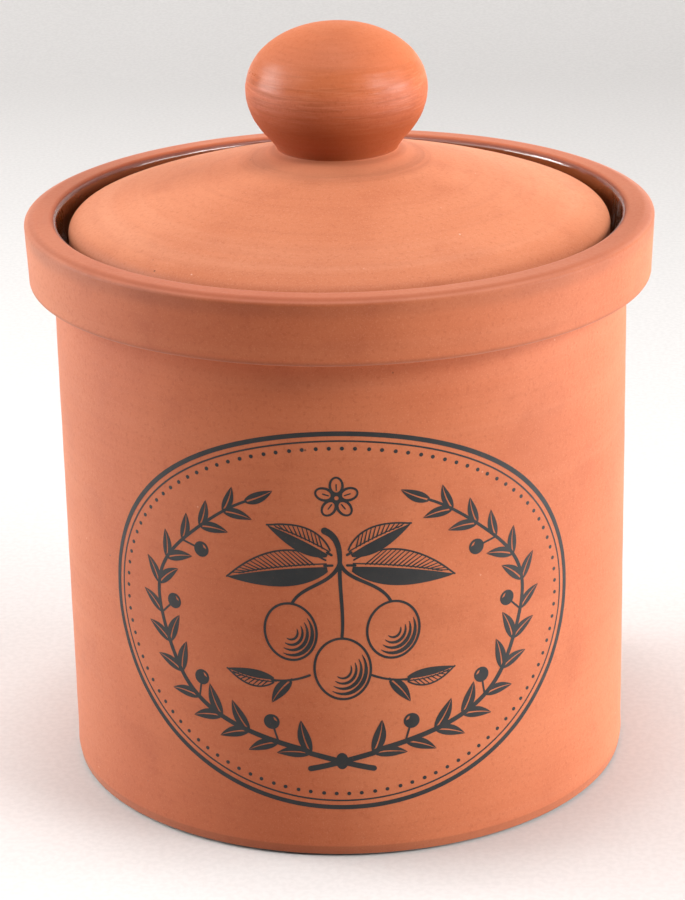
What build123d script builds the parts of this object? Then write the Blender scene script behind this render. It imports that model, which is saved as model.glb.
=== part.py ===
from build123d import *
import math
import os

os.makedirs("parts", exist_ok=True)

# Lidded terracotta jar. Millimetres, +Z up, origin at the centre of the foot,
# on the surface the jar stands on. The printed side faces -Y.

# ---------------------------------------------------------------- dimensions
BODY_R = 49.1            # outer radius of the straight wall
FOOT_R = 48.75           # outer radius of the standing face
FOOT_CHAMFER_H = 1.65    # height of the turned chamfer at the foot
FOOT_RING_R = 37.0       # inner radius of the standing ring
BASE_RECESS = 1.5        # hollow turned into the underside
COLLAR_TOP_R = 53.6      # collar's greatest radius, just under its top edge
COLLAR_LOW_R = 53.2      # collar's radius at its lower edge
COLLAR_LOW_Z = 88.4      # lower edge of the collar's face
COLLAR_UNDER_Z = 87.4    # where the collar's underside meets the wall
RIM_Z = 98.45            # top of the rim
RIM_OUT_R = 52.2         # where the rim starts to fall towards its outer edge
RIM_MID_R = 51.0         # on the flat of the rim
RIM_IN_R = 48.45         # inner edge of the rim, before it is rounded
RIM_IN_ROUND = 1.3       # radius of that rounding
GLAZE_TOP_Z = 98.05      # the glaze starts on the rounding, just under the rim
GALLERY_LOW_R = 47.4     # gallery wall at the ledge
LEDGE_Z = 90.2           # clay ledge that carries the lid
BORE_R = 43.8            # inside radius of the clay wall
FLOOR_Z = 7.0            # top of the clay floor
FLOOR_FILLET = 6.3
GLAZE_T = 0.3            # thickness of the fired glaze

LID_R = 46.1             # greatest radius of the lid
LID_SEAT_Z = LEDGE_Z + GLAZE_T   # the lid's bearing face lies on the glazed ledge
FLANGE_OUT_R = 42.9      # locating ring, 0.6 mm inside the glazed bore
FLANGE_IN_R = 38.9
FLANGE_LOW_Z = 84.0
LID_WALL = 5.2           # thickness of the dome
NECK_SEAT_Z = 107.2      # flat on top of the dome, under the knob
NECK_SEAT_R = 14.5

NECK_R = 10.3            # knob's neck
KNOB_R = 15.35           # knob's greatest radius
KNOB_TOP_Z = 129.8

PRINT_T = 0.06           # thickness of the fired print
PRINT_Z = 42.2           # centre height of the print
PRINT_HALF_W = 42.5      # half width, measured round the wall
PRINT_HALF_H = 33.3
PRINT_OUTER_LINE = 0.8   # width of the outer line
PRINT_INNER_LINE = 0.28
PRINT_LINE_GAP = 0.7     # from the outer line's inner edge to the inner line


# ------------------------------------------------------------ profile helper
def rounded(points, offset=0.0):
    """Edges along a run of (r, z, fillet) points in the XZ plane.

    offset moves the run to its left. Fillets stay concentric, so two runs
    with the same points and different offsets share their arc centres.
    """
    p = [(a, b) for a, b, _ in points]
    n = len(p)
    dirs = []
    for i in range(n - 1):
        dx, dz = p[i + 1][0] - p[i][0], p[i + 1][1] - p[i][1]
        length = math.hypot(dx, dz)
        dirs.append((dx / length, dz / length))
    moved = []
    for i in range(n):
        if i == 0 or i == n - 1:
            d = dirs[0] if i == 0 else dirs[-1]
            moved.append((p[i][0] - d[1] * offset, p[i][1] + d[0] * offset))
        else:
            a, b = dirs[i - 1], dirs[i]
            cross = a[0] * b[1] - a[1] * b[0]
            ax, az = p[i][0] - a[1] * offset, p[i][1] + a[0] * offset
            bx, bz = p[i][0] - b[1] * offset, p[i][1] + b[0] * offset
            t = ((bx - ax) * b[1] - (bz - az) * b[0]) / cross
            moved.append((ax + a[0] * t, az + a[1] * t))
    edges = []
    last = moved[0]
    for i in range(1, n - 1):
        rad = points[i][2]
        if rad <= 0:
            edges.append(Line((last[0], 0, last[1]), (moved[i][0], 0, moved[i][1])))
            last = moved[i]
            continue
        a, b = dirs[i - 1], dirs[i]
        cross = a[0] * b[1] - a[1] * b[0]
        dot = a[0] * b[0] + a[1] * b[1]
        rad = rad - offset if cross > 0 else rad + offset
        half = math.acos(max(-1.0, min(1.0, dot))) / 2
        cut = rad * math.tan(half)
        q = moved[i]
        start = (q[0] - a[0] * cut, q[1] - a[1] * cut)
        end = (q[0] + b[0] * cut, q[1] + b[1] * cut)
        bis = (b[0] - a[0], b[1] - a[1])
        size = math.hypot(*bis)
        bis = (bis[0] / size, bis[1] / size)
        reach = rad / math.cos(half) - rad
        mid = (q[0] + bis[0] * reach, q[1] + bis[1] * reach)
        if math.dist(last, start) > 1e-6:
            edges.append(Line((last[0], 0, last[1]), (start[0], 0, start[1])))
        edges.append(ThreePointArc((start[0], 0, start[1]), (mid[0], 0, mid[1]), (end[0], 0, end[1])))
        last = end
    edges.append(Line((last[0], 0, last[1]), (moved[-1][0], 0, moved[-1][1])))
    return edges


def ends(edges):
    return edges[0] @ 0, edges[-1] @ 1


def revolved(edges):
    return revolve(make_face(edges), Axis.Z, 360)


def save(shape, name, rgb):
    shape.label = name
    shape.color = Color(*rgb)
    export_step(shape, f"parts/{name}.step")


# ------------------------------------------------------------------ jar body
# One fired piece: floor, straight wall, collar and the ledge inside it.
outer_run = [
    (0, BASE_RECESS, 0),
    (FOOT_RING_R - 2.5, BASE_RECESS, 1.5),
    (FOOT_RING_R, 0, 0.6),
    (FOOT_R, 0, 0.5),
    (BODY_R, FOOT_CHAMFER_H, 1.0),
    (BODY_R, COLLAR_UNDER_Z, 0.9),
    (COLLAR_LOW_R, COLLAR_UNDER_Z + 0.15, 1.0),
    (COLLAR_TOP_R, 97.85, 1.0),
    (RIM_OUT_R, RIM_Z, 2.6),
    (RIM_MID_R, RIM_Z, 0),
]
inner_run = [
    (RIM_MID_R, RIM_Z, 0),
    (RIM_IN_R, RIM_Z, RIM_IN_ROUND),
    (GALLERY_LOW_R, LEDGE_Z, 0.9),
    (BORE_R, LEDGE_Z, 0.6),
    (BORE_R, FLOOR_Z, FLOOR_FILLET),
    (0, FLOOR_Z, 0),
]
body_edges = rounded(outer_run) + rounded(inner_run)
body_edges.append(Line((0, 0, FLOOR_Z), (0, 0, BASE_RECESS)))
jar_body = revolved(body_edges)

# -------------------------------------------------------- glaze in the vessel
# A skin on the gallery wall, the ledge, the bore and the floor. It starts on
# the rounded inner edge of the rim, at the height GLAZE_TOP_Z.
wall = (GALLERY_LOW_R - RIM_IN_R, LEDGE_Z - RIM_Z)
wall = (wall[0] / math.hypot(*wall), wall[1] / math.hypot(*wall))
flat_end_r = RIM_IN_R + RIM_IN_ROUND * math.tan(math.acos(-wall[0]) / 2)
tilt = math.acos((GLAZE_TOP_Z - (RIM_Z - RIM_IN_ROUND)) / RIM_IN_ROUND)
glaze_top = (flat_end_r - RIM_IN_ROUND * math.sin(tilt), GLAZE_TOP_Z)
heading_in = (-math.cos(tilt), -math.sin(tilt))
cross = heading_in[0] * wall[1] - heading_in[1] * wall[0]
reach_in = ((RIM_IN_R - glaze_top[0]) * wall[1] - (RIM_Z - glaze_top[1]) * wall[0]) / cross
glaze_run = [
    (glaze_top[0], glaze_top[1], 0),
    (glaze_top[0] + heading_in[0] * reach_in, glaze_top[1] + heading_in[1] * reach_in, RIM_IN_ROUND),
    (GALLERY_LOW_R, LEDGE_Z, 0.9),
    (BORE_R, LEDGE_Z, 0.6),
    (BORE_R, FLOOR_Z, FLOOR_FILLET),
    (0, FLOOR_Z, 0),
]
outside = rounded(glaze_run)
inside = rounded(glaze_run, offset=-GLAZE_T)
a0, a1 = ends(outside)
b0, b1 = ends(inside)
jar_glaze_lining = revolved(outside + inside + [Line(a0, b0), Line(a1, b1)])

# ------------------------------------------------------------------ lid dome
DOME = [  # (r, z) along the top of the dome, from the knob to the shoulder
    (NECK_SEAT_R, NECK_SEAT_Z),
    (18.0, 106.1),
    (24.0, 104.35),
    (31.0, 102.45),
    (38.0, 100.35),
    (44.2, 98.1),
]
dome_top = Spline(*[(r, 0, z) for r, z in DOME], tangents=[(1, 0, -0.32), (1, 0, -0.42)])
SHOULDER_LOW_Z = 95.6
shoulder = Spline((44.2, 0, 98.1), (45.55, 0, 97.05), (LID_R, 0, SHOULDER_LOW_Z),
                  tangents=[(1, 0, -0.42), (0, 0, -1)])
lid_low = rounded([
    (LID_R, SHOULDER_LOW_Z, 0),
    (LID_R - 0.1, LID_SEAT_Z, 0.7),
    (FLANGE_OUT_R, LID_SEAT_Z, 0.5),
    (FLANGE_OUT_R, FLANGE_LOW_Z, 1.2),
    (FLANGE_IN_R, FLANGE_LOW_Z, 1.2),
    (FLANGE_IN_R, 94.6, 3.0),
    (14.0, 102.0, 12.0),
    (0, 102.0, 0),
])
lid_edges = [Line((0, 0, NECK_SEAT_Z), (NECK_SEAT_R, 0, NECK_SEAT_Z)), dome_top, shoulder]
lid_edges += lid_low
lid_edges.append(Line((0, 0, 102.0), (0, 0, NECK_SEAT_Z)))
lid_dome = revolved(lid_edges)

# --------------------------------------------------------- glaze under the lid
lid_glaze_run = [
    (FLANGE_IN_R, FLANGE_LOW_Z + 1.6, 0),
    (FLANGE_IN_R, 94.6, 3.0),
    (14.0, 102.0, 12.0),
    (0, 102.0, 0),
]
lg_out = rounded(lid_glaze_run)
lg_in = rounded(lid_glaze_run, offset=GLAZE_T)
c0, c1 = ends(lg_out)
d0, d1 = ends(lg_in)
lid_glaze = revolved(lg_out + lg_in + [Line(c0, d0), Line(c1, d1)])

# ---------------------------------------------------------------------- knob
KNOB = [
    (NECK_R, 109.0),
    (11.45, 110.6),
    (13.1, 112.55),
    (14.3, 114.5),
    (15.03, 116.5),
    (KNOB_R, 118.57),
    (15.18, 120.54),
    (14.6, 122.41),
    (13.43, 124.38),
    (11.7, 126.15),
    (9.4, 127.68),
    (6.45, 128.91),
    (3.3, 129.6),
    (0, KNOB_TOP_Z),
]
knob_side = Spline(*[(r, 0, z) for r, z in KNOB], tangents=[(0.5, 0, 1), (-1, 0, 0)])
lid_knob = revolved([
    Line((0, 0, NECK_SEAT_Z), (NECK_R, 0, NECK_SEAT_Z)),
    Line((NECK_R, 0, NECK_SEAT_Z), (NECK_R, 0, 109.0)),
    knob_side,
    Line((0, 0, KNOB_TOP_Z), (0, 0, NECK_SEAT_Z)),
])

# ---------------------------------------------- slip that joins knob and dome
flare = Spline((NECK_R, 0, 108.95), (11.7, 0, 108.3), (NECK_SEAT_R - 0.05, 0, NECK_SEAT_Z + 0.08),
               tangents=[(1, 0, -0.85), (1, 0, -0.32)])
knob_slip_ring = revolved([
    Line((NECK_R, 0, NECK_SEAT_Z), (NECK_SEAT_R - 0.05, 0, NECK_SEAT_Z)),
    Line((NECK_SEAT_R - 0.05, 0, NECK_SEAT_Z), (NECK_SEAT_R - 0.05, 0, NECK_SEAT_Z + 0.08)),
    flare,
    Line((NECK_R, 0, 108.95), (NECK_R, 0, NECK_SEAT_Z)),
])


# --------------------------------------------------------------- front print
# Two fired oval lines on the wall. Each outline is drawn round the wall and
# cut out of a thin sleeve, so its width is true along the surface.
def oval_prism(half_w, half_h, spans=16, per_span=5):
    def point(t):
        c, s = math.cos(t), math.sin(t)
        around = half_w * c
        return (BODY_R * math.sin(around / BODY_R), -BODY_R - 6, PRINT_Z + half_h * s)

    def heading(t):
        a, b = point(t - 1e-4), point(t + 1e-4)
        return (b[0] - a[0], 0, b[2] - a[2])

    edges = []
    for k in range(spans):
        a, b = 2 * math.pi * k / spans, 2 * math.pi * (k + 1) / spans
        ts = [a + (b - a) * j / (per_span - 1) for j in range(per_span)]
        edges.append(Spline(*[point(t) for t in ts], tangents=[heading(a), heading(b)]))
    return extrude(make_face(edges), amount=40, dir=(0, 1, 0))


sleeve = revolve(make_face(Polyline(
    (BODY_R, 0, PRINT_Z - PRINT_HALF_H - 2), (BODY_R + PRINT_T, 0, PRINT_Z - PRINT_HALF_H - 2),
    (BODY_R + PRINT_T, 0, PRINT_Z + PRINT_HALF_H + 2), (BODY_R, 0, PRINT_Z + PRINT_HALF_H + 2), close=True)),
    Axis.Z, 360)


def oval_line(inset, width):
    wide = oval_prism(PRINT_HALF_W - inset, PRINT_HALF_H - inset)
    narrow = oval_prism(PRINT_HALF_W - inset - width, PRINT_HALF_H - inset - width)
    return (sleeve & wide) - narrow


outer_line = oval_line(0, PRINT_OUTER_LINE)
inner_line = oval_line(PRINT_OUTER_LINE + PRINT_LINE_GAP, PRINT_INNER_LINE)
front_print = Compound(children=list(outer_line.solids()) + list(inner_line.solids()))

# --------------------------------------------------------------------- files
CLAY = (0.80, 0.45, 0.33)
save(jar_body, "jar_body", CLAY)
save(jar_glaze_lining, "jar_glaze_lining", (0.30, 0.12, 0.05))
save(front_print, "front_print", (0.19, 0.19, 0.20))
save(lid_dome, "lid_dome", (0.84, 0.50, 0.38))
save(lid_glaze, "lid_glaze", (0.30, 0.12, 0.05))
save(lid_knob, "lid_knob", (0.78, 0.42, 0.31))
save(knob_slip_ring, "knob_slip_ring", (0.84, 0.50, 0.38))
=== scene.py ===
import math

import bmesh
import bpy
import numpy as np
from mathutils import Matrix, Vector
from mathutils.geometry import delaunay_2d_cdt


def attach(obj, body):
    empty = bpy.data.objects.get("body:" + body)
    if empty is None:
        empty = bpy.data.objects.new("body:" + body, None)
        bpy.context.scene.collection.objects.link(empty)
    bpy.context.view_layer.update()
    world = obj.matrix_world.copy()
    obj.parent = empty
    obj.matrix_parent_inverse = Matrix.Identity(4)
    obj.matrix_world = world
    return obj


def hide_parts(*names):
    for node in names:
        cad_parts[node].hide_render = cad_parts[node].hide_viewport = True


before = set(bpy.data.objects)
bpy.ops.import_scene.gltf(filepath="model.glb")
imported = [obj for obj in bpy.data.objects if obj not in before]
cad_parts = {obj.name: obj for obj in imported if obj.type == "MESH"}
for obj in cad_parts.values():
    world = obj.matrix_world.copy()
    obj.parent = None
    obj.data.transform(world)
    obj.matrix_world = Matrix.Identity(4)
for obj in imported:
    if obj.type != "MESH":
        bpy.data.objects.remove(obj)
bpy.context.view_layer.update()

MM = 0.001
TAU = 2 * math.pi

# ------------------------------------------------------------------ camera
FOCAL_PX = 2923.1
SWING = math.radians(1.6)     # the print sits this far round to the left of the camera
CAM_MM = (480.6 * math.sin(SWING), -480.6 * math.cos(SWING), 234.44)
YAW, PITCH, ROLL = -0.00058 - SWING, 0.3593, 0.02122


def make_camera():
    cp, sp = math.cos(PITCH), math.sin(PITCH)
    cw, sw = math.cos(YAW), math.sin(YAW)
    fwd = Vector((sw * cp, cw * cp, -sp))
    right = Vector((cw, -sw, 0.0))
    down = fwd.cross(right)
    cr, sr = math.cos(ROLL), math.sin(ROLL)
    r2 = cr * right + sr * down
    d2 = -sr * right + cr * down
    rot = Matrix((r2, -d2, -fwd)).transposed()
    data = bpy.data.cameras.new("camera")
    data.sensor_width = 36.0
    data.sensor_fit = "AUTO"
    data.lens = FOCAL_PX / 900.0 * 36.0
    data.clip_start, data.clip_end = 0.01, 20.0
    cam = bpy.data.objects.new("camera", data)
    cam.matrix_world = Matrix.Translation(Vector(CAM_MM) * MM) @ rot.to_4x4()
    bpy.context.scene.collection.objects.link(cam)
    bpy.context.scene.camera = cam


make_camera()

# ------------------------------------------------- dimensions, as in the CAD
BODY_R = 49.1
FOOT_R, FOOT_CHAMFER_H, FOOT_RING_R, BASE_RECESS = 48.75, 1.65, 37.0, 1.5
COLLAR_TOP_R, COLLAR_LOW_R, COLLAR_UNDER_Z = 53.6, 53.2, 87.4
RIM_Z, RIM_OUT_R, RIM_IN_R, RIM_IN_ROUND = 98.45, 52.2, 48.45, 1.3
GLAZE_TOP_Z, GALLERY_LOW_R = 98.05, 47.4
LEDGE_Z, BORE_R, FLOOR_Z, FLOOR_FILLET, GLAZE_T = 90.2, 43.8, 7.0, 6.3, 0.3
LID_R, LID_SEAT_Z = 46.1, 90.5
FLANGE_OUT_R, FLANGE_IN_R, FLANGE_LOW_Z = 42.9, 38.9, 84.0
NECK_SEAT_Z, NECK_SEAT_R, NECK_R, KNOB_TOP_Z = 107.2, 14.5, 10.3, 129.8
PRINT_Z, PRINT_HALF_W, PRINT_HALF_H = 42.2, 42.5, 33.3


# ------------------------------------------------------------ profile tools
def rounded(points, offset=0.0, arc_deg=7.5):
    """Points along a run of (r, z, fillet) corners, fillets as arcs, moved offset to the left."""
    p = [(a, b) for a, b, _ in points]
    n = len(p)
    dirs = []
    for i in range(n - 1):
        dx, dz = p[i + 1][0] - p[i][0], p[i + 1][1] - p[i][1]
        length = math.hypot(dx, dz)
        dirs.append((dx / length, dz / length))
    moved = []
    for i in range(n):
        if i in (0, n - 1):
            d = dirs[0] if i == 0 else dirs[-1]
            moved.append((p[i][0] - d[1] * offset, p[i][1] + d[0] * offset))
        else:
            a, b = dirs[i - 1], dirs[i]
            cross = a[0] * b[1] - a[1] * b[0]
            ax, az = p[i][0] - a[1] * offset, p[i][1] + a[0] * offset
            bx, bz = p[i][0] - b[1] * offset, p[i][1] + b[0] * offset
            t = ((bx - ax) * b[1] - (bz - az) * b[0]) / cross
            moved.append((ax + a[0] * t, az + a[1] * t))
    out = [moved[0]]
    for i in range(1, n - 1):
        rad = points[i][2]
        if rad <= 0:
            out.append(moved[i])
            continue
        a, b = dirs[i - 1], dirs[i]
        cross = a[0] * b[1] - a[1] * b[0]
        dot = max(-1.0, min(1.0, a[0] * b[0] + a[1] * b[1]))
        rad = rad - offset if cross > 0 else rad + offset
        turn = math.acos(dot)
        cut = rad * math.tan(turn / 2)
        q = moved[i]
        s = (q[0] - a[0] * cut, q[1] - a[1] * cut)
        side = 1 if cross > 0 else -1
        c = (s[0] - a[1] * rad * side, s[1] + a[0] * rad * side)
        steps = max(3, int(math.ceil(math.degrees(turn) / arc_deg)))
        for k in range(steps + 1):
            t = side * turn * k / steps
            vx, vz = s[0] - c[0], s[1] - c[1]
            out.append((c[0] + vx * math.cos(t) - vz * math.sin(t), c[1] + vx * math.sin(t) + vz * math.cos(t)))
    out.append(moved[-1])
    return out


def resample(pts, step):
    """Adds points so that no stretch of the run is longer than step; keeps every given point."""
    out = [pts[0]]
    for a, b in zip(pts, pts[1:]):
        length = math.hypot(b[0] - a[0], b[1] - a[1])
        if length < 1e-6:
            continue
        k = max(1, int(math.ceil(length / step)))
        for j in range(1, k + 1):
            t = j / k
            out.append((a[0] + (b[0] - a[0]) * t, a[1] + (b[1] - a[1]) * t))
    return out


def hermite(points, start, end, step):
    """A smooth run through points (r, z), with the given end directions, sampled at step."""
    p = [np.array(q, float) for q in points]
    n = len(p)
    seg = [np.linalg.norm(p[i + 1] - p[i]) for i in range(n - 1)]
    t = np.concatenate([[0], np.cumsum(seg)])
    # natural-parameter cubic spline with clamped ends
    m = np.zeros((n, n))
    rhs = np.zeros((n, 2))
    m[0, 0] = m[-1, -1] = 1
    rhs[0] = np.array(start, float) / np.linalg.norm(start)
    rhs[-1] = np.array(end, float) / np.linalg.norm(end)
    for i in range(1, n - 1):
        h0, h1 = seg[i - 1], seg[i]
        m[i, i - 1], m[i, i], m[i, i + 1] = h1, 2 * (h0 + h1), h0
        rhs[i] = 3 * (h1 * (p[i] - p[i - 1]) / h0 + h0 * (p[i + 1] - p[i]) / h1)
    d = np.linalg.solve(m, rhs)
    out = []
    for i in range(n - 1):
        h = seg[i]
        k = max(2, int(math.ceil(h / step)))
        for j in range(k):
            u = j / k
            h00, h10 = 2 * u**3 - 3 * u**2 + 1, u**3 - 2 * u**2 + u
            h01, h11 = -2 * u**3 + 3 * u**2, u**3 - u**2
            q = h00 * p[i] + h10 * h * d[i] + h01 * p[i + 1] + h11 * h * d[i + 1]
            out.append((float(q[0]), float(q[1])))
    out.append((float(p[-1][0]), float(p[-1][1])))
    return out


rng = np.random.default_rng(7)


class Waves:
    """Smooth, repeatable variation over a turned surface: terms in angle and in place along the profile."""

    def __init__(self, terms):
        self.terms = [(amp, k, w, rng.uniform(0, TAU)) for amp, k, w in terms]
        self.top = sum(abs(t[0]) for t in self.terms)

    def __call__(self, theta, s):
        v = 0.0
        for amp, k, w, ph in self.terms:
            v = v + amp * np.sin(k * theta + s * TAU / w + ph)
        return v - self.top


def lathe(name, pts, segs=384, shift=None, closed=False):
    """A turned surface. pts is the (r, z) run in mm; r 0 makes a pole. shift(theta, s, r, z) -> (dr, dz) in mm."""
    pts = [p for i, p in enumerate(pts) if i == 0 or math.hypot(p[0] - pts[i - 1][0], p[1] - pts[i - 1][1]) > 1e-5]
    if closed and math.hypot(pts[0][0] - pts[-1][0], pts[0][1] - pts[-1][1]) < 1e-5:
        pts = pts[:-1]
    r = np.array([max(p[0], 0.0) for p in pts])
    z = np.array([p[1] for p in pts])
    s = np.concatenate([[0], np.cumsum(np.hypot(np.diff(r), np.diff(z)))])
    th = np.linspace(0, TAU, segs, endpoint=False)
    T, S = np.meshgrid(th, s)
    R = np.repeat(r[:, None], segs, 1)
    Z = np.repeat(z[:, None], segs, 1)
    if shift is not None:
        dr, dz = shift(T, S, R, Z)
        fade = np.clip(R / 3.0, 0, 1)
        R = R + dr * fade
        Z = Z + dz * fade
    X, Y = R * np.cos(T), R * np.sin(T)
    verts, index = [], np.zeros((len(pts), segs), int)
    for i in range(len(pts)):
        if r[i] < 1e-6:
            index[i, :] = len(verts)
            verts.append((0.0, 0.0, float(Z[i].mean()) * MM))
        else:
            index[i, :] = np.arange(len(verts), len(verts) + segs)
            verts.extend(zip((X[i] * MM).tolist(), (Y[i] * MM).tolist(), (Z[i] * MM).tolist()))
    faces = []
    rows = len(pts)
    for i in range(rows if closed else rows - 1):
        i2 = (i + 1) % rows
        a, b = index[i], index[i2]
        pole_a, pole_b = r[i] < 1e-6, r[i2] < 1e-6
        for j in range(segs):
            k = (j + 1) % segs
            if pole_a and pole_b:
                break
            if pole_a:
                faces.append((int(a[0]), int(b[k]), int(b[j])))
            elif pole_b:
                faces.append((int(a[j]), int(a[k]), int(b[0])))
            else:
                faces.append((int(a[j]), int(a[k]), int(b[k]), int(b[j])))
    me = bpy.data.meshes.new(name)
    me.from_pydata(verts, [], faces)
    me.validate()
    bm = bmesh.new()
    bm.from_mesh(me)
    bmesh.ops.recalc_face_normals(bm, faces=bm.faces)
    if bm.calc_volume(signed=True) < 0:
        bmesh.ops.reverse_faces(bm, faces=bm.faces)
    bm.to_mesh(me)
    bm.free()
    me.shade_smooth()
    me.set_sharp_from_angle(angle=math.radians(48))
    ob = bpy.data.objects.new(name, me)
    bpy.context.scene.collection.objects.link(ob)
    return ob


# ----------------------------------------------------------------- materials
def srgb(r, g, b):
    def f(c):
        c /= 255.0
        return c / 12.92 if c <= 0.04045 else ((c + 0.055) / 1.055) ** 2.4
    return (f(r), f(g), f(b), 1.0)


class Nodes:
    def __init__(self, name):
        self.mat = bpy.data.materials.new(name)
        self.mat.use_nodes = True
        self.nt = self.mat.node_tree
        self.nt.nodes.clear()
        self.out = self.nt.nodes.new("ShaderNodeOutputMaterial")
        self.bsdf = self.nt.nodes.new("ShaderNodeBsdfPrincipled")
        self.nt.links.new(self.bsdf.outputs[0], self.out.inputs[0])
        tc = self.nt.nodes.new("ShaderNodeTexCoord")
        self.obj = tc.outputs["Object"]

    def put(self, sock, val):
        if isinstance(val, bpy.types.NodeSocket):
            self.nt.links.new(val, sock)
        else:
            sock.default_value = val

    def math(self, op, a, b=0.0, c=0.0, clamp=False):
        n = self.nt.nodes.new("ShaderNodeMath")
        n.operation, n.use_clamp = op, clamp
        self.put(n.inputs[0], a)
        self.put(n.inputs[1], b)
        self.put(n.inputs[2], c)
        return n.outputs[0]

    def vec(self, op, a, b=(0, 0, 0)):
        n = self.nt.nodes.new("ShaderNodeVectorMath")
        n.operation = op
        self.put(n.inputs[0], a)
        if op == "SCALE":
            self.put(n.inputs[3], b)
        else:
            self.put(n.inputs[1], b)
        return n.outputs[1] if op == "LENGTH" else n.outputs[0]

    def split(self, v):
        n = self.nt.nodes.new("ShaderNodeSeparateXYZ")
        self.put(n.inputs[0], v)
        return n.outputs[0], n.outputs[1], n.outputs[2]

    def join(self, x, y, z):
        n = self.nt.nodes.new("ShaderNodeCombineXYZ")
        for i, v in enumerate((x, y, z)):
            self.put(n.inputs[i], v)
        return n.outputs[0]

    def noise(self, v, scale, detail=3.0, rough=0.5, distortion=0.0):
        n = self.nt.nodes.new("ShaderNodeTexNoise")
        self.put(n.inputs["Vector"], v)
        n.inputs["Scale"].default_value = scale
        n.inputs["Detail"].default_value = detail
        n.inputs["Roughness"].default_value = rough
        n.inputs["Distortion"].default_value = distortion
        return n.outputs["Fac"]

    def voronoi(self, v, scale, rand=1.0):
        n = self.nt.nodes.new("ShaderNodeTexVoronoi")
        self.put(n.inputs["Vector"], v)
        n.inputs["Scale"].default_value = scale
        n.inputs["Randomness"].default_value = rand
        return n.outputs["Distance"], n.outputs["Color"]

    def ramp(self, f, lo, hi, a=0.0, b=1.0, smooth=True):
        n = self.nt.nodes.new("ShaderNodeMapRange")
        n.interpolation_type = "SMOOTHSTEP" if smooth else "LINEAR"
        n.clamp = True
        self.put(n.inputs[0], f)
        n.inputs[1].default_value, n.inputs[2].default_value = lo, hi
        n.inputs[3].default_value, n.inputs[4].default_value = a, b
        return n.outputs[0]

    def mix(self, f, a, b, blend="MIX"):
        n = self.nt.nodes.new("ShaderNodeMix")
        n.data_type, n.blend_type = "RGBA", blend
        n.clamp_factor = True
        self.put(n.inputs[0], f)
        self.put(n.inputs[6], a)
        self.put(n.inputs[7], b)
        return n.outputs[2]

    def bump(self, height, strength, dist, normal=None):
        n = self.nt.nodes.new("ShaderNodeBump")
        n.inputs["Strength"].default_value = strength
        n.inputs["Distance"].default_value = dist
        self.put(n.inputs["Height"], height)
        if normal is not None:
            self.put(n.inputs["Normal"], normal)
        return n.outputs[0]


def turned(n, radial):
    """Coordinates that only change quickly across the turning direction, so noise makes lines round the axis."""
    x, y, z = n.split(n.obj)
    r = n.vec("LENGTH", n.join(x, y, 0.0))
    across = n.math("ADD", z, n.math("MULTIPLY", r, radial))
    return n.join(n.math("MULTIPLY", x, 0.03), n.math("MULTIPLY", y, 0.03), across), r, z


CLAY = {
    "light": srgb(213, 122, 84),
    "mid": srgb(204, 111, 73),
    "dark": srgb(182, 88, 54),
    "dust": srgb(224, 148, 116),
    "iron": srgb(84, 40, 28),
}


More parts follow.
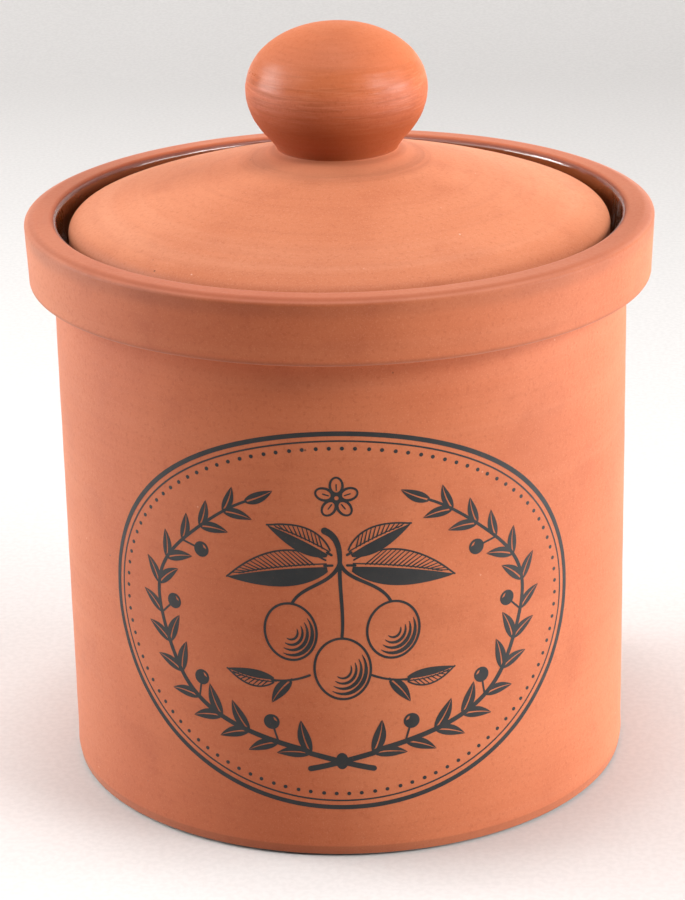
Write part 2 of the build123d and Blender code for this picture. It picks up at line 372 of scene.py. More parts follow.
def clay(name, radial, streak=0.5, streak_bump=0.3, tint=None, rim=False, wash=None, rough_from=0.52, spec=0.18, polish=None, sheen=0.19):
    n = Nodes(name)
    line, r, z = turned(n, radial)
    # cloudy firing colour, grain, and lines from turning
    cloud = n.noise(n.obj, 28.0, 4.0, 0.55, 0.3)
    patch = n.noise(n.obj, 95.0, 3.0, 0.6)
    grain = n.noise(n.obj, 1500.0, 3.0, 0.65)
    fine = n.noise(n.obj, 4200.0, 2.0, 0.6)
    lines1 = n.noise(line, 900.0, 4.0, 0.62)
    lines2 = n.noise(line, 260.0, 3.0, 0.5)
    col = n.mix(n.ramp(cloud, 0.34, 0.68), CLAY["mid"], CLAY["light"])
    col = n.mix(n.math("MULTIPLY", n.ramp(patch, 0.5, 0.78), 0.35), col, CLAY["dark"])
    lf = n.math("MULTIPLY", n.ramp(lines1, 0.42, 0.74), 0.55 * streak)
    col = n.mix(lf, col, CLAY["dark"])
    lf2 = n.math("MULTIPLY", n.ramp(lines2, 0.5, 0.75), 0.5 * streak)
    col = n.mix(lf2, col, CLAY["dust"])
    gf = n.math("MULTIPLY", n.ramp(grain, 0.50, 0.76), 0.40)
    col = n.mix(gf, col, CLAY["dark"])
    ff = n.math("MULTIPLY", n.ramp(fine, 0.52, 0.76), 0.40)
    col = n.mix(ff, col, CLAY["dust"])
    # sparse iron specks, pale grog and pinholes
    d1, c1 = n.voronoi(n.obj, 210.0)
    pick, size, _ = n.split(c1)
    reach = n.ramp(size, 0.0, 1.0, 0.45, 1.25, smooth=False)
    speck = n.math("MULTIPLY", n.ramp(n.math("DIVIDE", d1, reach), 0.020, 0.048, 1.0, 0.0), n.ramp(pick, 0.83, 0.84, smooth=False))
    col = n.mix(n.math("MULTIPLY", speck, 0.75), col, CLAY["iron"])
    d2, c2 = n.voronoi(n.vec("ADD", n.obj, (0.31, 0.17, 0.23)), 330.0)
    pick2, size2, _ = n.split(c2)
    reach2 = n.ramp(size2, 0.0, 1.0, 0.4, 1.2, smooth=False)
    grog = n.math("MULTIPLY", n.ramp(n.math("DIVIDE", d2, reach2), 0.030, 0.075, 1.0, 0.0), n.ramp(pick2, 0.85, 0.86, smooth=False))
    col = n.mix(n.math("MULTIPLY", grog, 0.5), col, srgb(240, 196, 176))
    if tint is not None:
        col = n.mix(1.0, col, tint, "MULTIPLY")
    if rim:
        # a patchy darker brown band under the rim's outer edge, a painted highlight along the edge
        # itself, and the purple-brown bloom where the glaze begins
        wob = n.noise(n.obj, 60.0, 3.0, 0.6)
        drift = n.math("MULTIPLY", n.math("SUBTRACT", wob, 0.5), 0.0012)
        zb = n.math("ADD", z, drift)
        edge = n.math("ADD", r, n.math("MULTIPLY", n.math("SUBTRACT", wob, 0.5), 0.0004))
        band = n.math("MULTIPLY", n.ramp(zb, 0.0945, 0.0969), n.ramp(edge, 0.0515, 0.0525))
        patchy = n.ramp(n.noise(n.obj, 26.0, 3.0, 0.6), 0.36, 0.62, 0.35, 1.0)
        col = n.mix(n.math("MULTIPLY", n.math("MULTIPLY", band, patchy), 0.34), col, srgb(130, 66, 48))
        # painted highlight: a thin, broken pale line along the rim's outer edge
        pale = n.math("MULTIPLY", n.ramp(z, 0.09775, 0.09800), n.ramp(z, 0.09835, 0.09810))
        pale = n.math("MULTIPLY", n.math("MULTIPLY", pale, n.ramp(r, 0.0526, 0.0530)), n.ramp(wob, 0.25, 0.6, 0.35, 1.0))
        col = n.mix(n.math("MULTIPLY", pale, 0.20), col, srgb(240, 174, 148))
        inner = n.math("MULTIPLY", n.ramp(edge, 0.04905, 0.04855), n.ramp(z, 0.096, 0.0972))
        col = n.mix(n.math("MULTIPLY", inner, 0.75), col, srgb(128, 70, 58))
        upper = n.ramp(z, 0.0978, 0.0983)
        col = n.mix(n.math("MULTIPLY", upper, 0.54), col, srgb(178, 84, 42))
        # painted shade on the corner under the collar, and painted shade making the front-left of the wall a little
        # darker and deeper orange
        under = n.math("MULTIPLY", n.ramp(z, COLLAR_UNDER_Z * 0.001 + 0.0011, COLLAR_UNDER_Z * 0.001 + 0.0004), n.ramp(r, 0.0498, 0.0506))
        under = n.math("MULTIPLY", under, n.ramp(z, COLLAR_UNDER_Z * 0.001 - 0.0008, COLLAR_UNDER_Z * 0.001 - 0.0004))
        col = n.mix(n.math("MULTIPLY", under, 0.45), col, srgb(142, 74, 48))
        # painted shade: the front-left of the wall darker and deeper orange
        x, y, _ = n.split(n.obj)
        xw = n.math("ADD", x, n.math("MULTIPLY", n.math("SUBTRACT", cloud, 0.5), 0.012))
        front_left_shade = n.math("MULTIPLY", n.ramp(xw, 0.008, -0.012), n.ramp(xw, -0.046, -0.036))
        front_left_shade = n.math("MULTIPLY", front_left_shade, n.ramp(y, -0.006, -0.022))
        col = n.mix(front_left_shade, col, n.mix(1.0, col, (0.96, 0.87, 0.80, 1), "MULTIPLY"))
        # painted shade: the turned foot's bevel a little darker
        foot = n.ramp(z, 0.0022, 0.0018)
        col = n.mix(n.math("MULTIPLY", foot, 0.30), col, srgb(128, 66, 40))
        # painted contact shadow: the lowest half millimetre of the foot nearly black
        contact_shadow_paint = n.ramp(n.math("ADD", z, n.math("MULTIPLY", drift, 0.3)), 0.00052, 0.00032)
        col = n.mix(n.math("MULTIPLY", contact_shadow_paint, 0.94), col, srgb(46, 25, 15))
    if wash is not None:
        col = wash(n, col, r, z)
    n.put(n.bsdf.inputs["Base Color"], col)
    n.bsdf.inputs["Diffuse Roughness"].default_value = 0.85
    n.bsdf.inputs["Specular IOR Level"].default_value = spec
    n.bsdf.inputs["Sheen Weight"].default_value = sheen
    n.bsdf.inputs["Sheen Roughness"].default_value = 0.55
    n.bsdf.inputs["Sheen Tint"].default_value = (1.0, 0.86, 0.78, 1.0)
    rough = n.math("ADD", n.ramp(grain, 0.3, 0.7, rough_from, rough_from + 0.10), n.math("MULTIPLY", speck, 0.2))
    if polish is not None:
        belt = n.math("MULTIPLY", n.ramp(z, polish[0], polish[0] + 0.0007), n.ramp(z, polish[1], polish[1] - 0.0007))
        belt = n.math("MULTIPLY", belt, n.ramp(lines1, 0.3, 0.7, 1.15, 0.65))
        rough = n.math("SUBTRACT", rough, n.math("MULTIPLY", belt, polish[2]))
    n.put(n.bsdf.inputs["Roughness"], rough)
    h = n.math("ADD", n.math("MULTIPLY", grain, 0.5), n.math("MULTIPLY", fine, 0.25))
    h = n.math("SUBTRACT", h, n.math("MULTIPLY", speck, 1.4))
    b1 = n.bump(h, 0.70, 0.00006)
    b2 = n.bump(n.math("ADD", lines1, n.math("MULTIPLY", lines2, 0.8)), streak_bump, 0.00008, b1)
    n.put(n.bsdf.inputs["Normal"], b2)
    return n.mat


def glaze(name, edge=True):
    n = Nodes(name)
    x, y, z = n.split(n.obj)
    pool = n.noise(n.obj, 45.0, 3.0, 0.55, 0.4)
    mott = n.noise(n.obj, 320.0, 3.0, 0.6)
    spots = n.noise(n.obj, 1400.0, 2.0, 0.6)
    col = n.mix(n.ramp(pool, 0.3, 0.7), srgb(106, 50, 17), srgb(76, 32, 10))
    col = n.mix(n.math("MULTIPLY", n.ramp(mott, 0.48, 0.75), 0.45), col, srgb(66, 27, 10))
    col = n.mix(n.math("MULTIPLY", n.ramp(spots, 0.6, 0.8), 0.4), col, srgb(46, 20, 10))
    rough = n.ramp(pool, 0.3, 0.7, 0.06, 0.11)
    if edge:
        # thin and purple-grey where it starts, amber below that, then its full depth
        wob = n.noise(n.obj, 130.0, 3.0, 0.6)
        top = n.math("ADD", z, n.math("MULTIPLY", n.math("SUBTRACT", wob, 0.5), 0.0013))
        amber = n.math("MULTIPLY", n.ramp(top, 0.0952, 0.0972), 0.62)
        col = n.mix(amber, col, srgb(126, 64, 30))
        thin = n.ramp(top, 0.0974, 0.0979)
        col = n.mix(n.math("MULTIPLY", thin, 0.85), col, srgb(134, 78, 66))
        rough = n.math("ADD", rough, n.math("MULTIPLY", n.ramp(top, 0.0976, 0.0980), 0.16))
    n.put(n.bsdf.inputs["Base Color"], col)
    n.put(n.bsdf.inputs["Roughness"], rough)
    n.bsdf.inputs["Specular IOR Level"].default_value = 1.0
    h = n.math("ADD", n.math("MULTIPLY", n.noise(n.obj, 260.0, 2.0, 0.5), 1.0), n.math("MULTIPLY", mott, 0.25))
    n.put(n.bsdf.inputs["Normal"], n.bump(h, 0.38, 0.0003))
    return n.mat


def ink(name):
    n = Nodes(name)
    wear = n.noise(n.obj, 2600.0, 3.0, 0.7)
    blot = n.noise(n.obj, 300.0, 3.0, 0.6)
    col = n.mix(n.ramp(blot, 0.35, 0.7), srgb(38, 40, 41), srgb(47, 46, 46))
    col = n.mix(n.math("MULTIPLY", n.ramp(wear, 0.6, 0.78), 0.40), col, srgb(120, 74, 56))
    n.put(n.bsdf.inputs["Base Color"], col)
    n.put(n.bsdf.inputs["Roughness"], n.ramp(wear, 0.3, 0.7, 0.46, 0.60))
    n.bsdf.inputs["Specular IOR Level"].default_value = 0.28
    n.put(n.bsdf.inputs["Normal"], n.bump(wear, 0.35, 0.00004))
    return n.mat


def knob_wash(n, col, r, z):
    """Fine level turning lines, closest round the widest part, painted light making the top lighter and painted shade
    darkening the lower half to the neck.
    """
    x, y, _ = n.split(n.obj)
    line = n.join(n.math("MULTIPLY", x, 0.07), n.math("MULTIPLY", y, 0.07), z)
    s1 = n.noise(line, 1500.0, 4.0, 0.6)
    s2 = n.noise(line, 3400.0, 2.0, 0.6)
    belt = n.math("MULTIPLY", n.ramp(z, 0.1115, 0.1150), n.ramp(z, 0.1260, 0.1215))
    belt = n.math("ADD", n.math("MULTIPLY", belt, 0.7), 0.3)
    col = n.mix(n.math("MULTIPLY", n.math("MULTIPLY", n.ramp(s1, 0.42, 0.70), belt), 0.44), col, srgb(164, 80, 44))
    col = n.mix(n.math("MULTIPLY", n.math("MULTIPLY", n.ramp(s2, 0.48, 0.72), belt), 0.30), col, srgb(232, 160, 130))
    # painted light: the top of the knob a little lighter
    high = n.ramp(z, 0.1185, 0.1235)
    col = n.mix(n.math("MULTIPLY", high, 0.30), col, srgb(222, 132, 84))
    # painted shade: the lower half of the knob darker towards the neck
    low = n.ramp(z, 0.1208, 0.1132)
    col = n.mix(n.math("MULTIPLY", low, 0.80), col, srgb(146, 64, 16))
    return n.mix(1.0, col, (0.94, 0.89, 0.80, 1), "MULTIPLY")


def ring_wash(n, col, r, z):
    """Slip brushed round the foot of the knob: paler, with fine level lines, and painted shade darkening the crease at
    the neck.
    """
    x, y, _ = n.split(n.obj)
    line = n.join(n.math("MULTIPLY", x, 0.02), n.math("MULTIPLY", y, 0.02), n.math("ADD", z, r))
    s1 = n.noise(line, 1700.0, 4.0, 0.6)
    zone = n.ramp(r, 0.0180, 0.0150)
    col = n.mix(n.math("MULTIPLY", n.math("MULTIPLY", n.ramp(s1, 0.42, 0.70), zone), 0.32), col, srgb(176, 92, 60))
    soft = n.ramp(r, 0.0170, 0.0125)
    col = n.mix(n.math("MULTIPLY", soft, 0.48), col, srgb(236, 150, 110))
    # painted shade in the crease where the knob's neck meets the slip
    crease = n.ramp(r, 0.0120, 0.0104)
    return n.mix(n.math("MULTIPLY", crease, 0.38), col, srgb(140, 64, 32))


M_BODY = clay("fired_terracotta_body", 0.6, streak=0.24, streak_bump=0.18, tint=(0.955, 0.975, 0.86, 1), rim=True)
M_LID = clay("fired_terracotta_lid", 1.0, streak=0.36, streak_bump=0.28, tint=(1.08, 1.34, 1.43, 1), wash=ring_wash, sheen=0.05)
M_KNOB = clay("fired_terracotta_knob", 0.15, streak=0.22, streak_bump=0.24, wash=knob_wash, rough_from=0.54, spec=0.22,
              polish=(0.1204, 0.1252, 0.25), sheen=0.02)
M_GLAZE = glaze("honey_brown_glaze")
M_LID_GLAZE = glaze("honey_brown_lid_glaze", edge=False)
M_INK = ink("fired_charcoal_print")

# ------------------------------------------------------------------ jar body
body_wave = Waves([(0.035, 2, 1e9, ), (0.02, 3, 1e9), (0.012, 1, 37.0), (0.010, 0, 9.5), (0.006, 2, 14.0), (0.004, 0, 3.1)])


def body_shift(theta, s, r, z):
    """Slightly out of round, with faint throwing swells; never outside the nominal wall."""
    v = body_wave(theta, z)
    keep = np.clip((z - 0.8) / 3.0, 0, 1)
    return v * keep, np.zeros_like(v)


body_run = [
    (0, BASE_RECESS, 0), (FOOT_RING_R - 2.5, BASE_RECESS, 1.5), (FOOT_RING_R, 0, 0.6), (FOOT_R - 0.9, 0, 0.15),
    (FOOT_R + 0.05, 0.42, 0.2), (BODY_R, FOOT_CHAMFER_H + 0.35, 0.8), (BODY_R, COLLAR_UNDER_Z, 0.9), (COLLAR_LOW_R, COLLAR_UNDER_Z + 0.15, 0.6),
    (COLLAR_TOP_R, 97.85, 0.6), (RIM_OUT_R, RIM_Z, 2.6), (RIM_IN_R, RIM_Z, RIM_IN_ROUND),
    (GALLERY_LOW_R, LEDGE_Z, 0.9), (BORE_R, LEDGE_Z, 0.6), (BORE_R, FLOOR_Z, FLOOR_FILLET), (0, FLOOR_Z, 0),
]
pts = resample(rounded(body_run, arc_deg=4.5), 0.6)
jar = lathe("terracotta_jar_body", pts, 384, body_shift)
jar.data.materials.append(M_BODY)
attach(jar, "jar")
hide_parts("jar_body")

# --------------------------------------------------------- glaze in the vessel
wall = (GALLERY_LOW_R - RIM_IN_R, LEDGE_Z - RIM_Z)
wall = (wall[0] / math.hypot(*wall), wall[1] / math.hypot(*wall))
flat_end_r = RIM_IN_R + RIM_IN_ROUND * math.tan(math.acos(-wall[0]) / 2)
tilt = math.acos((GLAZE_TOP_Z - (RIM_Z - RIM_IN_ROUND)) / RIM_IN_ROUND)
glaze_top = (flat_end_r - RIM_IN_ROUND * math.sin(tilt), GLAZE_TOP_Z)
heading_in = (-math.cos(tilt), -math.sin(tilt))
cross = heading_in[0] * wall[1] - heading_in[1] * wall[0]
reach_in = ((RIM_IN_R - glaze_top[0]) * wall[1] - (RIM_Z - glaze_top[1]) * wall[0]) / cross
glaze_run = [
    (glaze_top[0], glaze_top[1], 0),
    (glaze_top[0] + heading_in[0] * reach_in, glaze_top[1] + heading_in[1] * reach_in, RIM_IN_ROUND),
    (GALLERY_LOW_R, LEDGE_Z, 0.9), (BORE_R, LEDGE_Z, 0.6), (BORE_R, FLOOR_Z, FLOOR_FILLET), (0, FLOOR_Z, 0),
]
skin = resample(rounded(glaze_run, offset=-GLAZE_T, arc_deg=4.5), 0.8)
back = resample(rounded(glaze_run, offset=-0.01, arc_deg=4.5), 0.8)
# the glaze thins out to nothing where it starts
walked, before = 0.0, skin[0]
for i, q in enumerate(skin):
    walked += math.hypot(q[0] - skin[i - 1][0], q[1] - skin[i - 1][1]) if i else 0.0
    if walked > 1.3:
        break
    u = walked / 1.3
    thin = 0.03 + (GLAZE_T - 0.03) * (u * u * (3 - 2 * u))
    if i == 0:
        nx, nz = heading_in[1], -heading_in[0]
    else:
        dx, dz = q[0] - before[0], q[1] - before[1]
        nx, nz = dz / math.hypot(dx, dz), -dx / math.hypot(dx, dz)
    before = q
    skin[i] = (q[0] - nx * (GLAZE_T - thin), q[1] - nz * (GLAZE_T - thin))
lining_pts = back[::-1] + skin  # back of the skin, up and over its top edge, then down its face


lining = lathe("brown_glaze_lining", [(p[0], p[1]) for p in lining_pts], 288)
lining.data.materials.append(M_GLAZE)
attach(lining, "jar")
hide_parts("jar_glaze_lining")

# ------------------------------------------------------------------ lid dome
DOME = [(NECK_SEAT_R, NECK_SEAT_Z), (18.0, 106.1), (24.0, 104.35), (31.0, 102.45), (38.0, 100.35), (44.2, 98.1)]
top = hermite(DOME, (1, -0.32), (1, -0.42), 0.5)
shoulder = hermite([(44.2, 98.1), (45.55, 97.05), (LID_R, 95.6)], (1, -0.42), (0, -1), 0.18)
low = rounded([
    (LID_R, 95.6, 0), (LID_R - 0.1, LID_SEAT_Z, 0.7), (FLANGE_OUT_R, LID_SEAT_Z, 0.5), (FLANGE_OUT_R, FLANGE_LOW_Z, 1.2),
    (FLANGE_IN_R, FLANGE_LOW_Z, 1.2), (FLANGE_IN_R, 94.6, 3.0), (14.0, 102.0, 12.0), (0, 102.0, 0),
])
lid_wave = Waves([(0.03, 2, 1e9), (0.012, 3, 19.0), (0.008, 0, 6.3), (0.006, 0, 2.3), (0.004, 1, 3.7)])


def lid_shift(theta, s, r, z):
    v = lid_wave(theta, r * 1.0)
    up = (z > 95.0) & (r > 14.6)
    w = np.where(up, np.clip((r - 14.6) / 3.0, 0, 1), 0.0)
    return np.zeros_like(v), v * w


lid_pts = [(0, NECK_SEAT_Z), (NECK_SEAT_R, NECK_SEAT_Z)]
lid_pts = resample(lid_pts, 1.5) + top[1:] + shoulder[1:] + resample(low, 0.8)[1:]
lid = lathe("terracotta_lid_dome", lid_pts, 384, lid_shift)
lid.data.materials.append(M_LID)
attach(lid, "lid")
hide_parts("lid_dome")

lid_glaze_run = [(FLANGE_IN_R, FLANGE_LOW_Z + 1.6, 0), (FLANGE_IN_R, 94.6, 3.0), (14.0, 102.0, 12.0), (0, 102.0, 0)]
lg_out = resample(rounded(lid_glaze_run, offset=0.02), 0.8)
lg_in = resample(rounded(lid_glaze_run, offset=GLAZE_T), 0.8)
under = lathe("brown_lid_glaze", lg_out[::-1] + lg_in, 288)
under.data.materials.append(M_LID_GLAZE)
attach(under, "lid")
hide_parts("lid_glaze")

# ---------------------------------------------------------------------- knob
KNOB = [
    (NECK_R, 109.0), (11.45, 110.6), (13.1, 112.55), (14.3, 114.5), (15.03, 116.5), (15.35, 118.57), (15.18, 120.54),
    (14.6, 122.41), (13.43, 124.38), (11.7, 126.15), (9.4, 127.68), (6.45, 128.91), (3.3, 129.6), (0.0, KNOB_TOP_Z),
]
knob_wave = Waves([(0.03, 2, 1e9), (0.010, 0, 2.6), (0.008, 0, 1.1), (0.006, 1, 1.7), (0.004, 2, 0.8)])


def knob_shift(theta, s, r, z):
    v = knob_wave(theta, z)
    w = np.clip((z - 109.2) / 2.0, 0, 1) * np.clip((129.4 - z) / 2.0, 0, 1)
    return v * w, np.zeros_like(v)


kp = [(0, NECK_SEAT_Z), (NECK_R, NECK_SEAT_Z), (NECK_R, 109.0)]
kp = resample(kp, 0.5) + hermite(KNOB, (0.5, 1), (-1, 0), 0.22)[1:]
knob = lathe("terracotta_ball_knob", kp, 320, knob_shift)
knob.data.materials.append(M_KNOB)
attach(knob, "lid")
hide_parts("lid_knob")

flare = hermite([(NECK_R - 0.02, 108.93), (11.4, 108.33), (12.9, 107.72), (NECK_SEAT_R - 0.05, NECK_SEAT_Z + 0.012)],
                (0.8, -1), (1, -0.32), 0.2)
rp = [(NECK_R - 0.02, NECK_SEAT_Z), (NECK_SEAT_R - 0.05, NECK_SEAT_Z)] + flare[::-1]
ring = lathe("clay_slip_ring", rp, 384, None, closed=True)
ring.data.materials.append(M_LID)
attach(ring, "lid")
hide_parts("knob_slip_ring")


# --------------------------------------------------------------- front print
# Laid out flat as (s, z): s is measured round the wall from the front, z is up. Millimetres.
class Art:
    def __init__(self):
        self.solid, self.holes = [], []

    def add(self, outline, holes=()):
        """A filled outline. Holes are left bare only in this outline."""
        self.solid.append(outline)
        self.holes.append(list(holes))


def oval(half_w, half_h, count):
    return [(half_w * math.cos(TAU * i / count), half_h * math.sin(TAU * i / count)) for i in range(count)]


def disc(cx, cz, rx, rz, turn=0.0, count=26):
    ct, st = math.cos(turn), math.sin(turn)
    out = []
    for i in range(count):
        u, v = rx * math.cos(TAU * i / count), rz * math.sin(TAU * i / count)
        out.append((cx + u * ct - v * st, cz + u * st + v * ct))
    return out


def bez(p0, p1, p2, p3, count):
    out = []
    for i in range(count + 1):
        t = i / count
        a, b, c, d = (1 - t) ** 3, 3 * t * (1 - t) ** 2, 3 * t * t * (1 - t), t**3
        out.append((a * p0[0] + b * p1[0] + c * p2[0] + d * p3[0], a * p0[1] + b * p1[1] + c * p2[1] + d * p3[1]))
    return out


def stroke(art, path, widths):
    """A line of changing width with rounded ends. widths is a function of 0..1."""
    n = len(path)
    left, right = [], []
    for i, (x, z) in enumerate(path):
        a, b = path[max(0, i - 1)], path[min(n - 1, i + 1)]
        dx, dz = b[0] - a[0], b[1] - a[1]
        m = math.hypot(dx, dz) or 1.0
        w = widths(i / (n - 1)) / 2
        left.append((x - dz / m * w, z + dx / m * w))
        right.append((x + dz / m * w, z - dx / m * w))
    art.add(left + right[::-1])
    for q, w in ((path[0], widths(0)), (path[-1], widths(1))):
        if w > 0.16:
            art.add(disc(q[0], q[1], w / 2, w / 2, 0, 14))


def leaf(art, x, z, angle, length, width, bend=0.0, open_side=0):
    """A pointed leaf. Its rib is left bare; open_side 1 or -1 draws that half as an edge with hatching."""
    n = 22
    ct, st = math.cos(angle), math.sin(angle)

    def place(u, v):
        v += bend * length * u * (1 - u)
        return (x + u * length * ct - v * st, z + u * length * st + v * ct)

    def half(u):
        return math.sin(math.pi * min(1.0, u) ** 0.80) ** 0.85 * width / 2

    def rib(u):
        return (0.15 + 0.10 * (length > 9)) * (1 - u) ** 0.5

    for side in (1, -1):
        us = [0.05 + 0.95 * i / n for i in range(n + 1)]
        edge = [place(u, side * max(half(u), rib(u))) for u in us]
        inner = [place(u, side * rib(u)) for u in us]
        if side != open_side:
            outline = edge + inner[::-1][1:]
            clean = []
            for q in outline:
                if not clean or math.hypot(q[0] - clean[-1][0], q[1] - clean[-1][1]) > 0.004:
                    clean.append(q)
            art.add(clean)
            continue
        stroke(art, [place(u, side * max(half(u) - 0.14, rib(u))) for u in us], lambda t: 0.30)
        stroke(art, [place(u, side * (rib(u) + 0.08)) for u in us[:-3]], lambda t: 0.22)
        k = 0.16
        while k < 0.84:
            a, b = place(k, side * rib(k)), place(min(0.96, k + 0.13), side * half(k + 0.13) * 0.94)
            stroke(art, [(a[0] + (b[0] - a[0]) * t / 4, a[1] + (b[1] - a[1]) * t / 4) for t in range(5)], lambda t: 0.26 - 0.12 * t)
            k += 0.062 * 12 / length
    stroke(art, [place(0, 0), place(0.03, 0), place(0.07, 0)], lambda t: 0.42)


def fruit(art, cx, cz, rx, rz, turn, flip=1):
    """A round fruit in outline, shaded on one side with tapering curved lines."""
    line = 0.42 if rx > 3 else 0.34
    art.add(disc(cx, cz, rx, rz, turn, 56), [disc(cx, cz, rx - line, rz - line, turn, 56)])
    ct, st = math.cos(turn), math.sin(turn)
    k, i = 0.80, 0
    while k * rx > 0.55:
        path = []
        for j in range(15):
            t = math.radians(-118 + 150 * j / 14 - 4 * i)
            u, v = flip * k * rx * math.cos(t), k * rz * math.sin(t)
            path.append((cx + u * ct - v * st, cz + u * st + v * ct))
        w = (0.62 if rx > 3 else 0.40) * (1 - 0.16 * i)
        stroke(art, path, lambda t, w=w: 0.10 + w * math.sin(math.pi * t) ** 0.8)
        k -= (0.80 if rx > 3 else 0.62) / rx
        i += 1
        if i > 3:
            break


def solid_berry(art, cx, cz, r, flip=1):
    gleam = []
    for j in range(9):
        t = math.radians(105 + 70 * j / 8)
        gleam.append((cx + flip * 0.70 * r * math.cos(t), cz + 0.70 * r * math.sin(t)))
    for j in range(8, -1, -1):
        t = math.radians(105 + 70 * j / 8)
        k = 0.70 - 0.27 * math.sin(math.pi * (j + 0.001) / 8.002)
        gleam.append((cx + flip * k * r * math.cos(t), cz + k * r * math.sin(t)))
    clean = []
    for q in gleam:
        if not clean or math.hypot(q[0] - clean[-1][0], q[1] - clean[-1][1]) > 0.01:
            clean.append(q)
    if math.hypot(clean[0][0] - clean[-1][0], clean[0][1] - clean[-1][1]) < 0.01:
        clean.pop()
    art.add(disc(cx, cz, r, r, 0, 30), [clean])


def compose():
    art = Art()
    # frame: a heavy line, a fine line and a row of beads
    for inset, width in ((0.0, 0.8), (1.5, 0.28)):
        art.add(oval(PRINT_HALF_W - inset, PRINT_HALF_H - inset, 480), [oval(PRINT_HALF_W - inset - width, PRINT_HALF_H - inset - width, 480)])
    track = oval(PRINT_HALF_W - 2.9, PRINT_HALF_H - 2.9, 1440)
    run = [0.0]
    for a, b in zip(track, track[1:] + track[:1]):
        run.append(run[-1] + math.hypot(b[0] - a[0], b[1] - a[1]))
    beads = 104
    for i in range(beads):
        want = run[-1] * (i + 0.5) / beads
        k = min(range(len(track)), key=lambda q: abs(run[q] - want))
        art.add(disc(track[k][0], track[k][1], 0.33, 0.33, 0, 16))
    # garland: two leafy branches that cross below and rise on both sides
    for m in (1, -1):
        path = bez((-5.2, -25.9), (-2.0, -25.2), (2.0, -23.9), (6.0, -22.9), 14)[:-1]
        for i in range(101):
            t = math.radians(-79 + 141 * i / 100)
            k = 1 + 0.016 * math.sin(6.5 * t)
            path.append((32.0 * k * math.cos(t), 23.1 * k * math.sin(t)))
        path = [(m * x, z) for x, z in path]
        run = [0.0]
        for a, b in zip(path, path[1:]):
            run.append(run[-1] + math.hypot(b[0] - a[0], b[1] - a[1]))
        stroke(art, path, lambda t: 1.0 - 0.55 * t)
        count = 13
        for i in range(count):
            want = run[-1] * (0.145 + 0.80 * i / (count - 1))
            k = min(range(len(path) - 1), key=lambda q: abs(run[q] - want))
            at = want / run[-1]
            (x, z), (x2, z2) = path[k], path[k + 1]
            a = math.atan2(z2 - z, x2 - x)
            for side in (1, -1):
                inner = side == m
                if i % 3 == 1 and inner:
                    # a berry on a short stalk in the place of a leaf
                    b = a + side * math.radians(58)
                    ex, ez = x + 2.7 * math.cos(b), z + 2.7 * math.sin(b)
                    stroke(art, bez((x, z), (x + 1.2 * math.cos(b), z + 1.2 * math.sin(b)), (ex, ez), (ex, ez), 6), lambda t: 0.34)
                    solid_berry(art, ex + 1.1 * math.cos(b), ez + 1.1 * math.sin(b), 1.35, m)
                    continue
                length = (6.3 if inner else 5.9) * (1.0 - 0.20 * at)
                leaf(art, x, z, a + side * math.radians(42 if inner else 36), length, length * 0.35, bend=-side * 0.22)
        a = math.atan2(path[-1][1] - path[-2][1], path[-1][0] - path[-2][0])
        leaf(art, path[-1][0], path[-1][1], a, 5.4, 1.9, bend=0.12 * m)
    # cord round the crossing
    art.add(disc(0, -24.42, 1.05, 1.5, 0, 24))
    # blossom between the branch tips
    for i in range(5):
        t = math.pi / 2 + TAU * i / 5
        c, s = math.cos(t), math.sin(t)
        petal = disc(2.05 * c, 22.0 + 2.05 * s, 1.62, 1.22, t, 26)
        art.add(petal, [disc(2.15 * c, 22.0 + 2.15 * s, 1.18, 0.80, t, 22)])
        stroke(art, [(1.35 * c, 22.0 + 1.35 * s), (1.8 * c, 22.0 + 1.8 * s), (2.3 * c, 22.0 + 2.3 * s)], lambda q: 0.22)
    art.add(disc(0, 22.0, 0.85, 0.85, 0, 22), [disc(0, 22.0, 0.36, 0.36, 0, 14)])
    # hanging bunch in the middle
    stroke(art, bez((-2.0, 16.4), (0.2, 15.4), (0.4, 13.0), (0.3, 10.6), 14), lambda t: 1.2 - 0.5 * t)
    stroke(art, bez((0.3, 10.8), (-0.9, 7.0), (-6.0, 7.0), (-7.6, 3.6), 16), lambda t: 0.66 - 0.15 * t)
    stroke(art, bez((0.3, 10.8), (1.5, 7.4), (6.6, 7.6), (8.4, 3.9), 16), lambda t: 0.66 - 0.15 * t)
    stroke(art, bez((0.3, 10.8), (0.1, 6.0), (0.9, 2.0), (0.4, -2.2), 16), lambda t: 0.66 - 0.15 * t)
    fruit(art, -8.0, -1.4, 4.5, 5.2, 0.10, 1)
    fruit(art, 8.8, -1.2, 4.5, 5.2, -0.12, 1)
    fruit(art, 0.4, -7.8, 4.8, 5.6, 0.02, 1)
    leaf(art, -0.9, 10.4, math.radians(190), 18.0, 6.4, bend=-0.16, open_side=-1)
    leaf(art, 1.5, 10.4, math.radians(-10), 18.0, 6.4, bend=0.16, open_side=1)
    leaf(art, -1.0, 12.2, math.radians(155), 11.5, 4.4, bend=-0.16, open_side=-1)
    leaf(art, 1.5, 12.2, math.radians(25), 11.5, 4.4, bend=0.16, open_side=1)
    for m in (1, -1):
        stroke(art, bez((5.0 * m, -9.0), (7.0 * m, -9.9), (9.2 * m, -10.4), (11.4 * m, -10.2), 10), lambda t: 0.42 - 0.08 * t)
        leaf(art, 10.6 * m, -10.3, math.radians(8 if m > 0 else 172), 8.6, 3.1, bend=-0.20 * m, open_side=-m)
        leaf(art, 8.0 * m, -9.9, math.radians(-52 if m > 0 else 232), 5.6, 2.1, bend=0.20 * m)
    return art


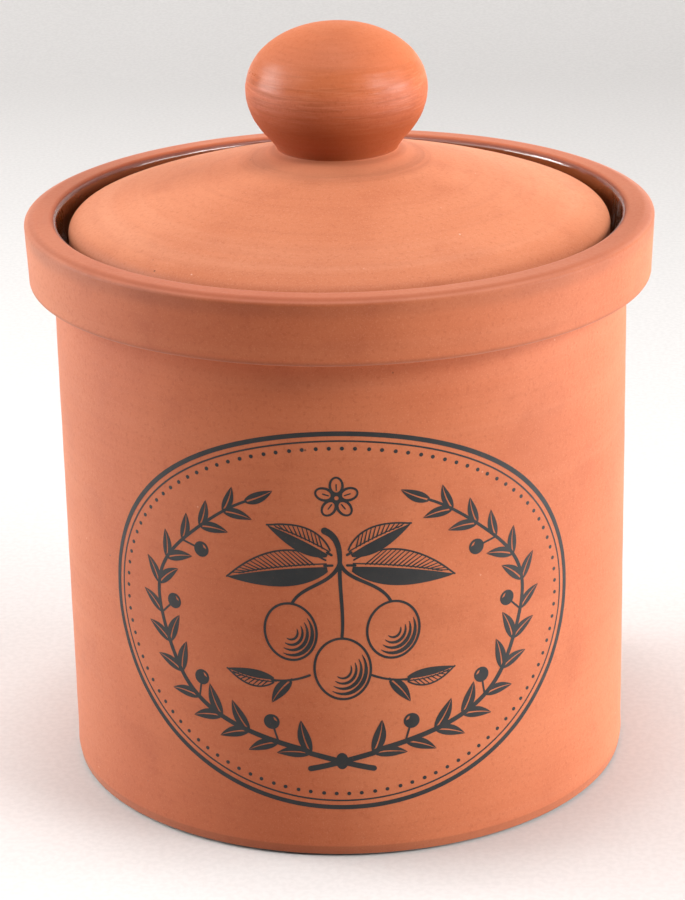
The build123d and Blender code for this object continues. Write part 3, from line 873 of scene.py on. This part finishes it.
def put_on_wall(art, name):
    """Joins the outlines into one flat shape, cuts it into narrow upright strips and bends them onto the wall."""
    coords, loops, kind = [], [], []
    for i, outline in enumerate(art.solid):
        for ring_pts, is_hole in [(outline, False)] + [(h, True) for h in art.holes[i]]:
            turn = sum(a[0] * b[1] - b[0] * a[1] for a, b in zip(ring_pts, ring_pts[1:] + ring_pts[:1]))
            if turn < 0:
                ring_pts = ring_pts[::-1]
            start = len(coords)
            coords += [Vector(q) for q in ring_pts]
            loops.append(list(range(start, len(coords))))
            kind.append((i, is_hole))
    edges = []
    s = -math.ceil(PRINT_HALF_W)
    while s <= PRINT_HALF_W + 1:
        edges.append((len(coords), len(coords) + 1))
        coords += [Vector((s + 0.00137, -PRINT_HALF_H - 1)), Vector((s + 0.00137, PRINT_HALF_H + 1))]
        s += 0.9
    verts, _, faces, _, _, origin = delaunay_2d_cdt(coords, edges, loops, 0, 1e-6, True)
    keep = []
    for f, src in zip(faces, origin):
        solid = {kind[q][0] for q in src if not kind[q][1]}
        bare = {kind[q][0] for q in src if kind[q][1]}
        if solid - bare:
            keep.append(f)
    bm = bmesh.new()
    vs = [bm.verts.new((v[0], v[1], 0)) for v in verts]
    for f in keep:
        try:
            bm.faces.new([vs[q] for q in f])
        except ValueError:
            pass
    bmesh.ops.delete(bm, geom=[v for v in bm.verts if not v.link_faces], context="VERTS")
    bmesh.ops.recalc_face_normals(bm, faces=bm.faces)
    bmesh.ops.reverse_faces(bm, faces=[f for f in bm.faces if f.normal.z < 0])
    ext = bmesh.ops.extrude_face_region(bm, geom=bm.faces[:])
    raised = {v for v in ext["geom"] if isinstance(v, bmesh.types.BMVert)}
    co = np.array([v.co for v in bm.verts])
    th = co[:, 0] / BODY_R - math.pi / 2
    z = co[:, 1] + PRINT_Z
    base = BODY_R + body_shift(th % TAU, None, None, z)[0]
    for i, v in enumerate(bm.verts):
        rr = base[i] + (0.03 if v in raised else -0.04)
        v.co = Vector((rr * math.cos(th[i]), rr * math.sin(th[i]), z[i])) * MM
    bmesh.ops.recalc_face_normals(bm, faces=bm.faces)
    me = bpy.data.meshes.new(name)
    bm.to_mesh(me)
    bm.free()
    ob = bpy.data.objects.new(name, me)
    bpy.context.scene.collection.objects.link(ob)
    return ob


printed = put_on_wall(compose(), "fired_front_print")
printed.data.materials.append(M_INK)
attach(printed, "jar")
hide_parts("front_print")


# --------------------------------------------------------------- plain studio
def stage_floor():
    n = Nodes("pale_studio_paper")
    grain = n.noise(n.obj, 900.0, 2.0, 0.5)
    col = n.mix(n.ramp(grain, 0.35, 0.65), srgb(208, 205, 203), srgb(213, 210, 208))
    n.put(n.bsdf.inputs["Base Color"], col)
    n.bsdf.inputs["Roughness"].default_value = 0.85
    n.bsdf.inputs["Specular IOR Level"].default_value = 0.2
    half, back_y, front_y, high, rad = 2.2, 0.95, -1.6, 2.4, 0.45
    run = [(front_y, 0.0), (back_y - rad, 0.0)]
    for i in range(1, 25):
        t = math.pi / 2 * i / 24
        run.append((back_y - rad + rad * math.sin(t), rad - rad * math.cos(t)))
    run.append((back_y, high))
    verts, faces = [], []
    for y, z in run:
        verts += [(-half, y, z), (half, y, z)]
    for i in range(len(run) - 1):
        faces.append((2 * i, 2 * i + 1, 2 * i + 3, 2 * i + 2))
    me = bpy.data.meshes.new("studio_sweep")
    me.from_pydata(verts, [], faces)
    me.shade_smooth()
    me.materials.append(n.mat)
    ob = bpy.data.objects.new("studio_sweep", me)
    bpy.context.scene.collection.objects.link(ob)


stage_floor()


def softbox(name, place, aim, size, power, colour=(1, 1, 1)):
    data = bpy.data.lights.new(name, "AREA")
    data.shape = "RECTANGLE"
    data.size, data.size_y = size
    data.energy = power
    data.color = colour
    ob = bpy.data.objects.new(name, data)
    ob.location = place
    ob.rotation_euler = (Vector(aim) - Vector(place)).to_track_quat("-Z", "Y").to_euler()
    bpy.context.scene.collection.objects.link(ob)


CENTRE = Vector((0.0, 0.0, 0.06))


def panel(name, az, el, power, colour=(1.0, 1.0, 1.0), size=(0.42, 0.5), far=0.75):
    """A soft panel aimed at the jar. az 0 is the camera's side and + is to its right; el is the height angle."""
    a, e = math.radians(az) + SWING, math.radians(el)
    place = CENTRE + Vector((math.sin(a) * math.cos(e), -math.cos(a) * math.cos(e), math.sin(e))) * far
    place.z = max(place.z, 0.27)
    softbox(name, place, CENTRE, size, power, colour)


def low_strip(name, az, power):
    """A low, wide strip standing beside the jar, level with its wall."""
    a = math.radians(az) + SWING
    place = Vector((math.sin(a) * 0.75, -math.cos(a) * 0.75, 0.085))
    softbox(name, place, Vector((0.0, 0.0, 0.05)), (0.42, 0.14), power)


panel("panel_left_side", -97, 12, 5.3)
panel("panel_left_high", -70, 40, 1.2)
panel("panel_left_behind_high", -110, 40, 0.8)
panel("panel_left_behind_small", -110, 33, 1.2, size=(0.2, 0.2))
low_strip("strip_left", -92, 1.5)
panel("panel_right_side", 80, 12, 3.8)
panel("panel_right_high", 59, 34, 2.5, size=(0.24, 0.24))
panel("panel_right_behind_high", 110, 40, 0.4)
low_strip("strip_right", 83, 5.4)
softbox("softbox_overhead", Vector((0.0, 0.10, 0.95)), Vector((0.0, 0.0, 0.0)), (0.5, 0.5), 2.0)
softbox("lamp_overhead", Vector((0.0, 0.0, 0.95)), Vector((0.0, 0.0, 0.0)), (0.15, 0.15), 2.3)

world = bpy.data.worlds.new("studio_air")
bpy.context.scene.world = world
world.use_nodes = True
bg = world.node_tree.nodes["Background"]
bg.inputs[0].default_value = (1.0, 0.97, 0.94, 1)
bg.inputs[1].default_value = 0.01

bpy.context.scene.view_settings.view_transform = "Standard"
bpy.context.scene.view_settings.look = "None"
